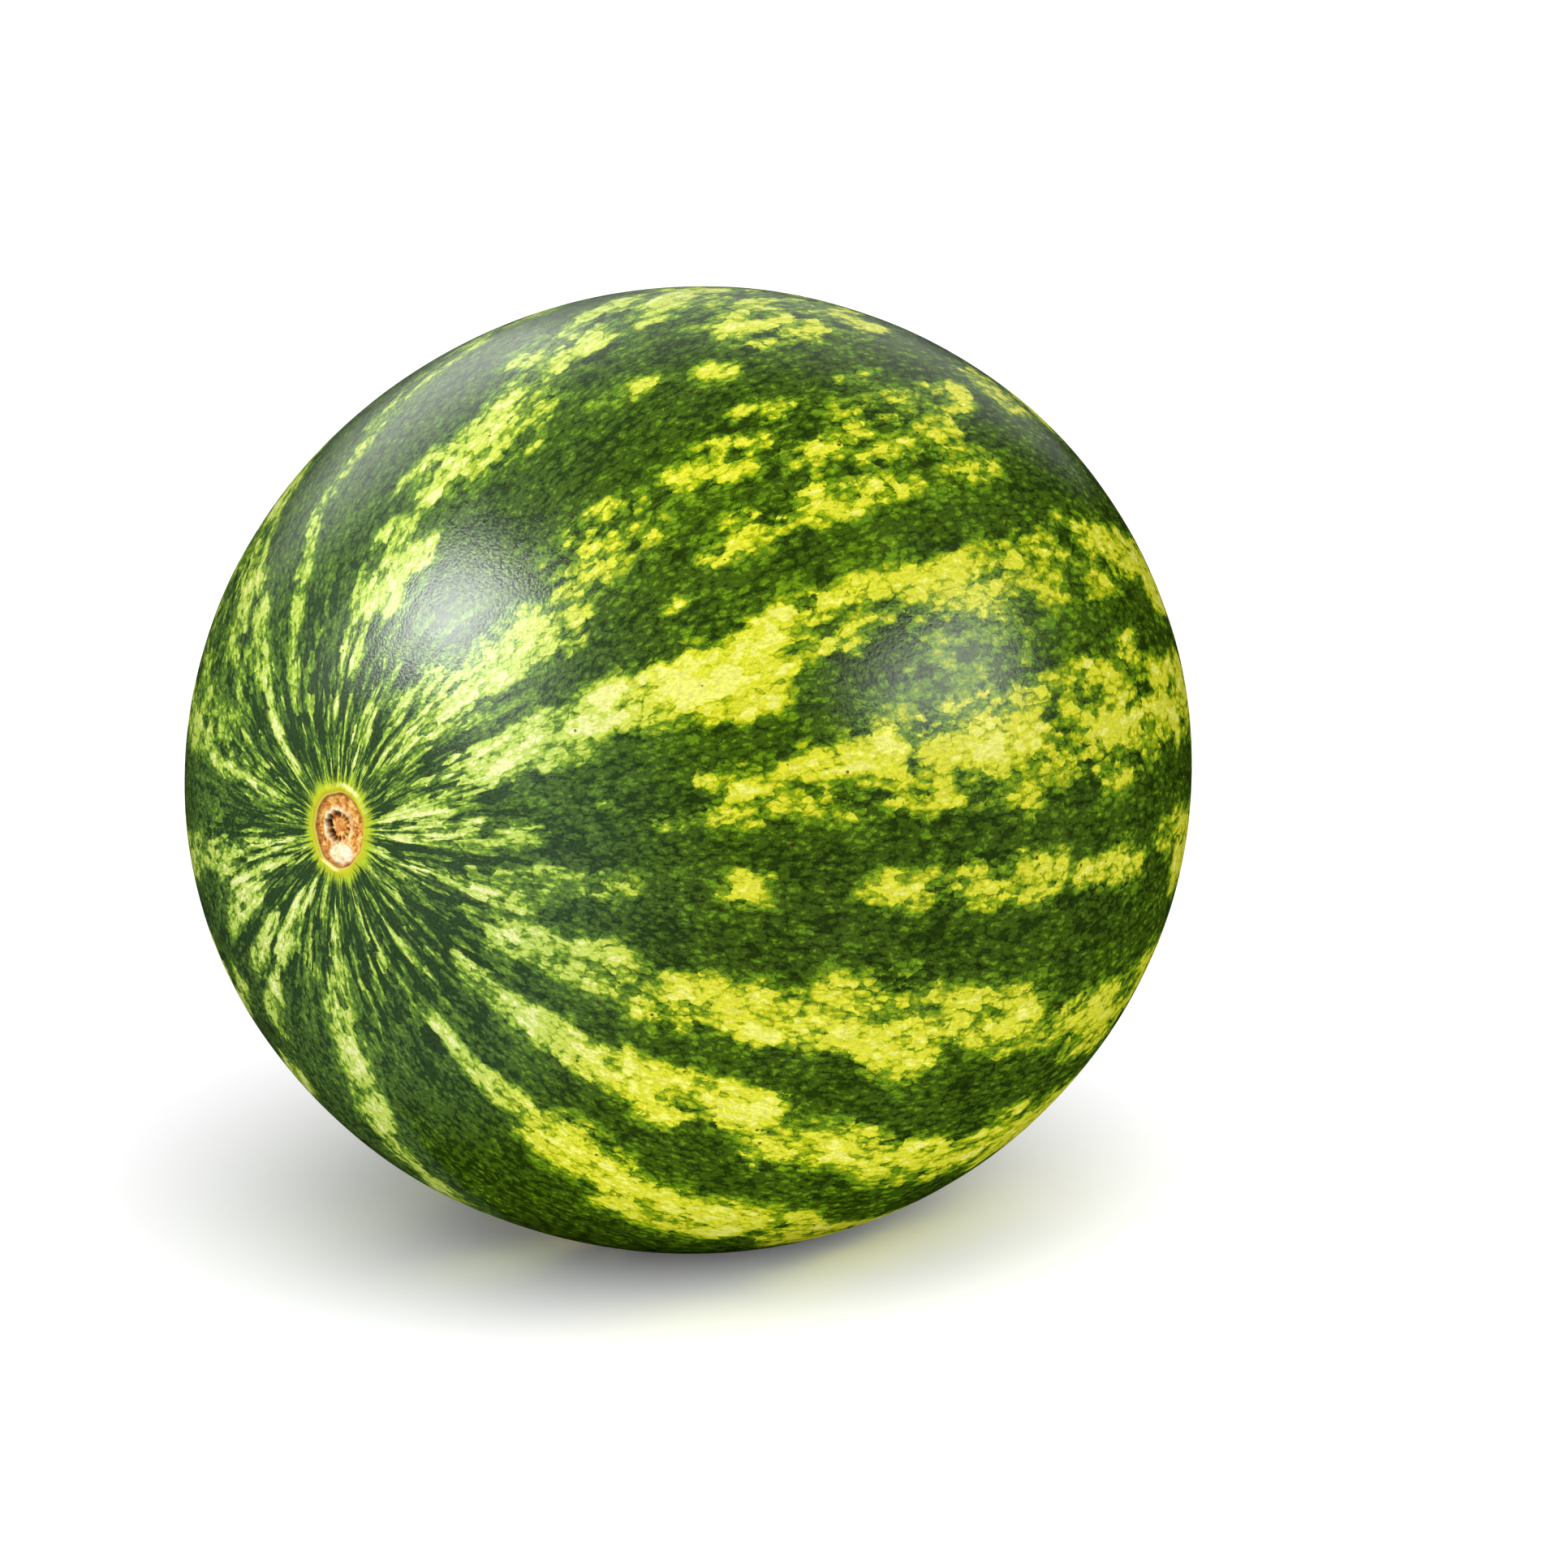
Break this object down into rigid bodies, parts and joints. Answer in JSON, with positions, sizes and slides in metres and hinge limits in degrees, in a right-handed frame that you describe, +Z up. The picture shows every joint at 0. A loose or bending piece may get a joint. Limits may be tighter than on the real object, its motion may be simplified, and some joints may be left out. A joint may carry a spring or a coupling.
{
  "type": "watermelon",
  "caption": "Whole striped watermelon lying on its side on a small flat spot, with a corky stem scar at one end and a blossom button at the other.",
  "frame": {"origin": "on the surface the fruit lies on, under the middle of its box", "axes": "+X runs along the fruit from the stem end to the blossom end, +Z up; the stem end is tilted up by 3.7 degrees"},
  "size_m": [0.251, 0.2304, 0.2264],
  "materials": {
    "rind": "satin"
  },
  "bodies": {
    "root": {"watermelon": "rind"}
  },
  "joints": []
}
